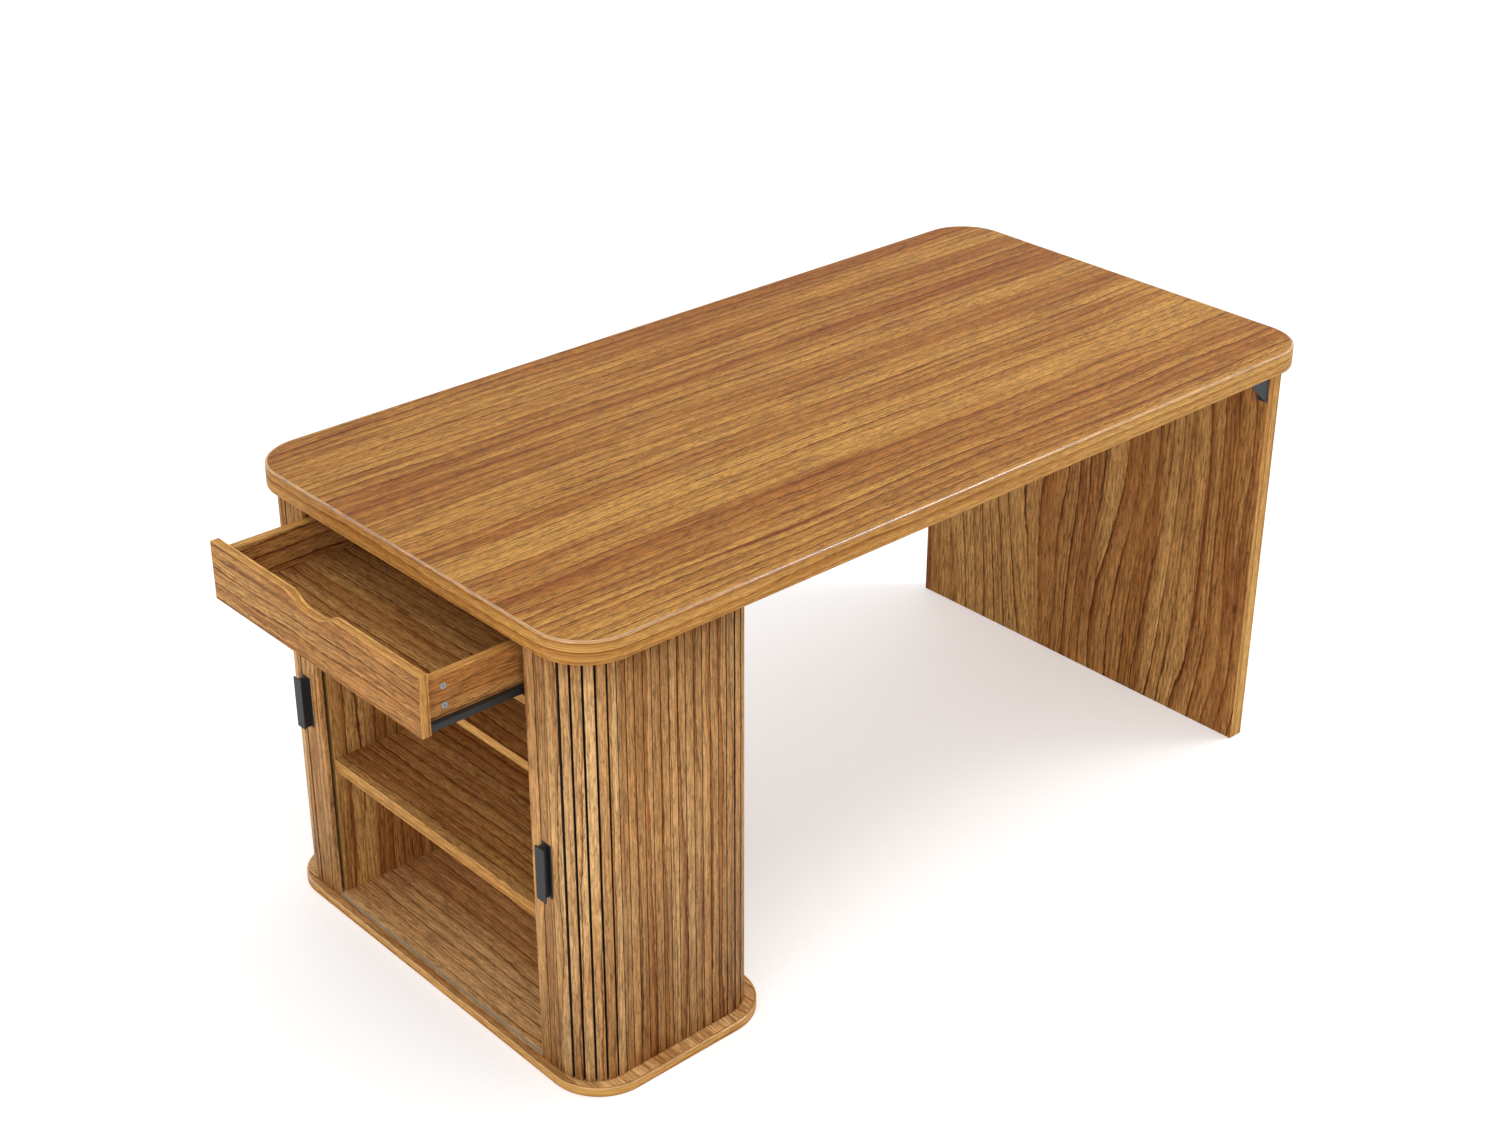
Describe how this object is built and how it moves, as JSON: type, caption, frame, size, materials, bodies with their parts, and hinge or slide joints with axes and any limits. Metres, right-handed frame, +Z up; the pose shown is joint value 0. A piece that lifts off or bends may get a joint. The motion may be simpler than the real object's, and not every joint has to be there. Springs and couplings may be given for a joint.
{
  "type": "kitchen island unit",
  "caption": "Kitchen island table on a rounded cabinet with sliding slatted doors, a drawer, shelves and stemware rails, and on a leg panel at the far end.",
  "frame": {"origin": "On the floor, at the centre of the underside of the cabinet's base plate.", "axes": "+X runs along the table from the cabinet to the leg panel, +Z is up, and +Y is the cabinet's left, seen from the front, where the drawer and the doors open towards -X."},
  "size_m": [1.705, 0.8, 0.75],
  "materials": {
    "panel_wood": "satin laminate, warm oak grain",
    "slat_wood": "satin laminate, warm oak grain",
    "black_metal": "matt black powder coat",
    "steel": "zinc plated",
    "track_plastic": "matt beige",
    "roller_plastic": "smooth white"
  },
  "bodies": {
    "carcass": {"tabletop": "panel_wood", "base_plate": "panel_wood", "leg_panel": "panel_wood", "leg_bracket_left": "black_metal", "bracket_screw_top_left": "black_metal", "bracket_screw_leg_left": "black_metal", "leg_bracket_middle": "black_metal", "bracket_screw_top_middle": "black_metal", "bracket_screw_leg_middle": "black_metal", "leg_bracket_right": "black_metal", "bracket_screw_top_right": "black_metal", "bracket_screw_leg_right": "black_metal", "side_panel_left": "panel_wood", "side_panel_right": "panel_wood", "back_panel": "panel_wood", "mid_shelf": "panel_wood", "bottle_shelf": "panel_wood", "drawer_deck": "panel_wood", "stem_rail_1": "panel_wood", "stem_rail_2": "panel_wood", "stem_rail_3": "panel_wood", "stem_rail_4": "panel_wood", "track_bottom_left": "track_plastic", "track_top_left": "track_plastic", "tambour_side_left": "slat_wood", "tambour_back_left": "slat_wood", "cabinet_slide_left": "black_metal", "track_bottom_right": "track_plastic", "track_top_right": "track_plastic", "tambour_side_right": "slat_wood", "tambour_back_right": "slat_wood", "cabinet_slide_right": "black_metal"},
    "drawer": {"drawer_front": "panel_wood", "drawer_side_left": "panel_wood", "drawer_side_right": "panel_wood", "drawer_back": "panel_wood", "drawer_bottom": "panel_wood", "drawer_cam_left_1": "steel", "drawer_cam_left_2": "steel", "drawer_slide_left": "black_metal", "drawer_cam_right_1": "steel", "drawer_cam_right_2": "steel", "drawer_slide_right": "black_metal"},
    "door_left": {"tambour_front_left": "slat_wood", "handle_left": "black_metal", "handle_screw_left_1": "steel", "handle_screw_left_2": "steel"},
    "door_right": {"tambour_front_right": "slat_wood", "handle_right": "black_metal", "handle_screw_right_1": "steel", "handle_screw_right_2": "steel"},
    "cabinet_roller_left": {"cabinet_roller_left": "roller_plastic"},
    "drawer_roller_left": {"drawer_roller_left": "roller_plastic"},
    "cabinet_roller_right": {"cabinet_roller_right": "roller_plastic"},
    "drawer_roller_right": {"drawer_roller_right": "roller_plastic"}
  },
  "joints": [
    {"name": "drawer_slide", "type": "slide", "parent": "carcass", "child": "drawer", "axis": [-1, 0, 0], "range_m": [-0.171, 0.02]},
    {"name": "door_left_slide", "type": "slide", "parent": "carcass", "child": "door_left", "axis": [0, -1, 0], "range_m": [0, 0.2664], "deforming": ["tambour_front_left"]},
    {"name": "door_right_slide", "type": "slide", "parent": "carcass", "child": "door_right", "axis": [0, 1, 0], "range_m": [0, 0.2664], "deforming": ["tambour_front_right"]},
    {"name": "cabinet_roller_left_spin", "type": "hinge", "parent": "carcass", "child": "cabinet_roller_left", "pos_m": [-0.125, 0.26, 0.6255], "axis": [0, 1, 0], "range_deg": [-130, 1095]},
    {"name": "drawer_roller_left_spin", "type": "hinge", "parent": "drawer", "child": "drawer_roller_left", "pos_m": [-0.067, 0.257, 0.6246], "axis": [0, 1, 0], "range_deg": [-145, 1215]},
    {"name": "cabinet_roller_right_spin", "type": "hinge", "parent": "carcass", "child": "cabinet_roller_right", "pos_m": [-0.125, -0.26, 0.6255], "axis": [0, 1, 0], "range_deg": [-130, 1095]},
    {"name": "drawer_roller_right_spin", "type": "hinge", "parent": "drawer", "child": "drawer_roller_right", "pos_m": [-0.067, -0.257, 0.6246], "axis": [0, 1, 0], "range_deg": [-145, 1215]}
  ],
  "couplings": [
    {"joint": "cabinet_roller_left_spin", "follows": "drawer_slide", "rad_per_m": -111.11},
    {"joint": "drawer_roller_left_spin", "follows": "drawer_slide", "rad_per_m": -123.46},
    {"joint": "cabinet_roller_right_spin", "follows": "drawer_slide", "rad_per_m": -111.11},
    {"joint": "drawer_roller_right_spin", "follows": "drawer_slide", "rad_per_m": -123.46}
  ]
}
